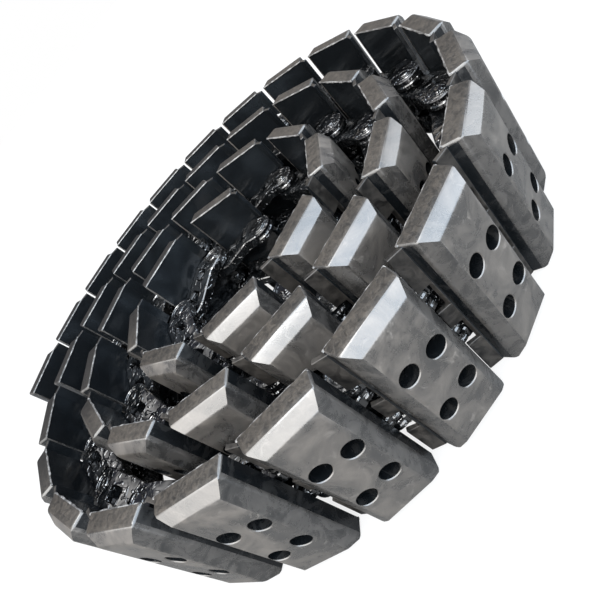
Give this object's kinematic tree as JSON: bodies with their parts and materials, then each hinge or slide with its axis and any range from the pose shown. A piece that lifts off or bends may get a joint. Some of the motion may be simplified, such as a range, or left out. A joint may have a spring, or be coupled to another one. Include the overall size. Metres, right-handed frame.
{
  "type": "crawler track",
  "caption": "Rolled-up crawler track: steel link chain with pins and bushings, bolt-on shoes with moulded rubber pads; the free end swings open.",
  "frame": {"origin": "middle of the standing roll, on the plane that the shoe ends rest on", "axes": "+Z along the hinge pins, out of the upper shoe ends; -X towards the free end of the track; +Y to the side away from the loose shoe"},
  "size_m": [1.202, 1.065, 0.29],
  "materials": {
    "pad_rubber": "satin moulded rubber with dusty smears",
    "plate_steel": "gloss black dip paint",
    "link_steel": "wet gloss black dip paint over forged steel",
    "pin_steel": "gloss black dip paint over hardened steel",
    "bolt_steel": "black steel"
  },
  "bodies": {
    "link_1": {"rubber_pad_1": "pad_rubber", "shoe_plate_1": "plate_steel", "left_link_1": "link_steel", "right_link_1": "link_steel", "track_pin_1": "pin_steel", "bushing_1": "pin_steel", "shoe_bolts_1": "bolt_steel", "shoe_nuts_1": "bolt_steel"},
    "link_2": {"rubber_pad_2": "pad_rubber", "shoe_plate_2": "plate_steel", "left_link_2": "link_steel", "right_link_2": "link_steel", "track_pin_2": "pin_steel", "bushing_2": "pin_steel", "shoe_bolts_2": "bolt_steel", "shoe_nuts_2": "bolt_steel"},
    "link_3": {"rubber_pad_3": "pad_rubber", "shoe_plate_3": "plate_steel", "left_link_3": "link_steel", "right_link_3": "link_steel", "track_pin_3": "pin_steel", "bushing_3": "pin_steel", "shoe_bolts_3": "bolt_steel", "shoe_nuts_3": "bolt_steel"},
    "link_4": {"rubber_pad_4": "pad_rubber", "shoe_plate_4": "plate_steel", "left_link_4": "link_steel", "right_link_4": "link_steel", "track_pin_4": "pin_steel", "bushing_4": "pin_steel", "shoe_bolts_4": "bolt_steel", "shoe_nuts_4": "bolt_steel"},
    "link_5": {"rubber_pad_5": "pad_rubber", "shoe_plate_5": "plate_steel", "left_link_5": "link_steel", "right_link_5": "link_steel", "track_pin_5": "pin_steel", "bushing_5": "pin_steel", "shoe_bolts_5": "bolt_steel", "shoe_nuts_5": "bolt_steel"},
    "wound_roll": {"outer_turn_pads": "pad_rubber", "inner_turn_pads": "pad_rubber", "outer_turn_plates": "plate_steel", "inner_turn_plates": "plate_steel", "wound_bushings": "pin_steel", "wound_left_links": "link_steel", "wound_right_links": "link_steel"}
  },
  "joints": [
    {"name": "pin_5_hinge", "type": "hinge", "parent": "wound_roll", "child": "link_5", "pos_m": [-0.04024, 0.44713, 0.145], "axis": [0, 0, -1], "range_deg": [0, 16]},
    {"name": "pin_4_hinge", "type": "hinge", "parent": "link_5", "child": "link_4", "pos_m": [-0.17564, 0.41152, 0.145], "axis": [0, 0, -1], "range_deg": [0, 15.5]},
    {"name": "pin_3_hinge", "type": "hinge", "parent": "link_4", "child": "link_3", "pos_m": [-0.30011, 0.34746, 0.145], "axis": [0, 0, -1], "range_deg": [0, 16.2]},
    {"name": "pin_2_hinge", "type": "hinge", "parent": "link_3", "child": "link_2", "pos_m": [-0.40667, 0.25664, 0.145], "axis": [0, 0, -1], "range_deg": [0, 17.5]},
    {"name": "pin_1_hinge", "type": "hinge", "parent": "link_2", "child": "link_1", "pos_m": [-0.48714, 0.14208, 0.145], "axis": [0, 0, -1], "range_deg": [0, 18.7]}
  ]
}
